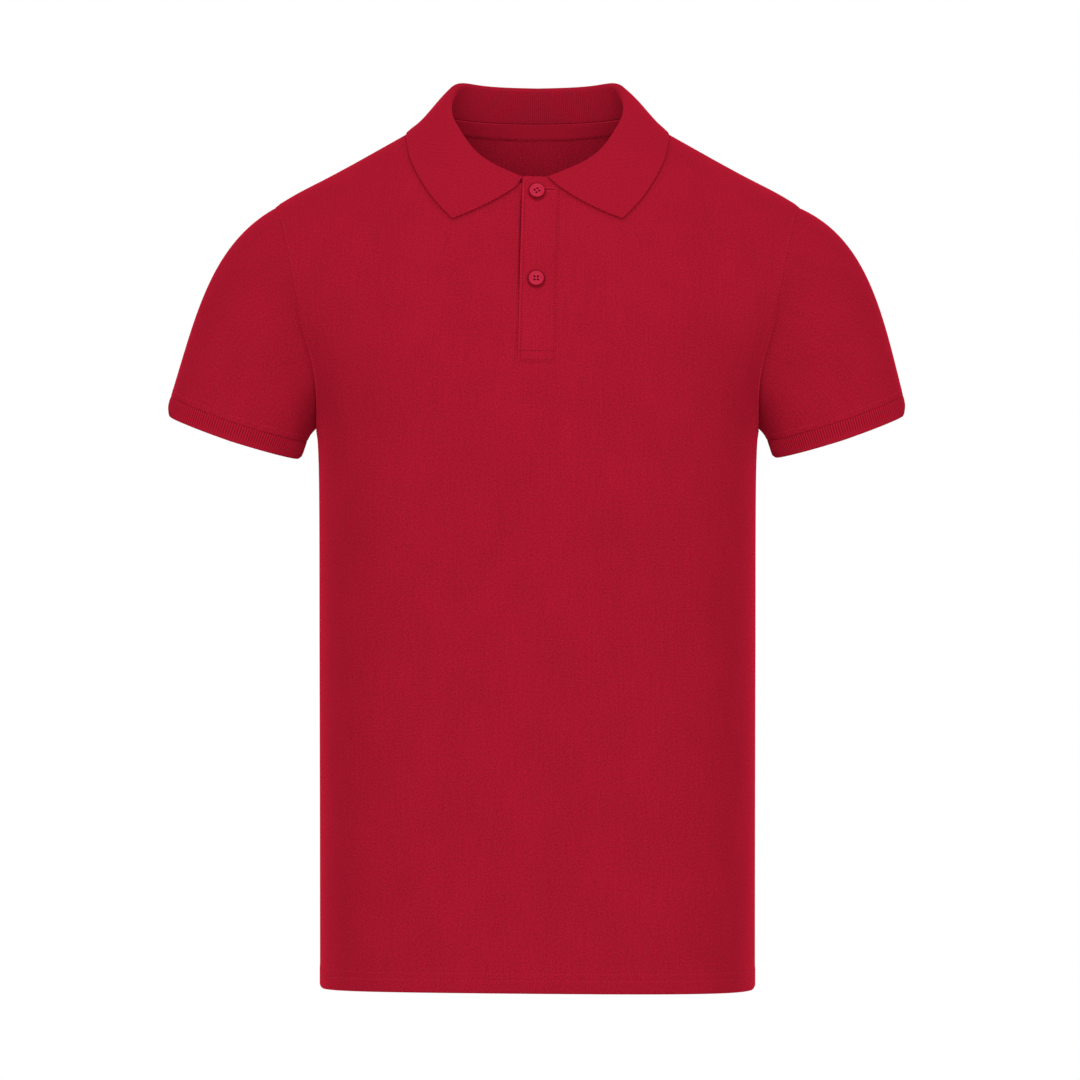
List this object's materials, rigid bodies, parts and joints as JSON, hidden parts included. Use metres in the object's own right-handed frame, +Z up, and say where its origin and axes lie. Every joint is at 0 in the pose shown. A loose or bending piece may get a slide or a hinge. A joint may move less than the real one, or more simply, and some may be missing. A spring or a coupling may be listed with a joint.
{
  "type": "polo shirt",
  "caption": "Short-sleeved pique polo shirt in its worn, filled-out form, with a folded knitted collar, a buttoned placket and ribbed sleeve cuffs; hollow and open at hem, neck and sleeves.",
  "frame": {"origin": "midway between the neck ends of the two shoulder seams, where the wearer's shoulders carry the shirt", "axes": "+Z up, towards the neck; -Y out of the shirt's front; +X to the viewer's right when facing the front, which is the wearer's left"},
  "size_m": [0.6013, 0.2475, 0.7413],
  "materials": {
    "body_pique": "soft matt cotton pique",
    "rib_knit": "matt rib knit",
    "collar_knit": "matt flat knit",
    "placket_pique": "soft matt cotton pique",
    "tape": "matt woven tape",
    "button_plastic": "semi-gloss dyed plastic"
  },
  "bodies": {
    "root": {"front": "body_pique", "back": "body_pique", "sleeve_left": "body_pique", "sleeve_right": "body_pique", "cuff_left": "rib_knit", "cuff_right": "rib_knit", "collar": "collar_knit", "placket_over": "placket_pique", "placket_under": "placket_pique", "neck_tape": "tape", "button_1": "button_plastic", "button_2": "button_plastic"}
  },
  "joints": []
}
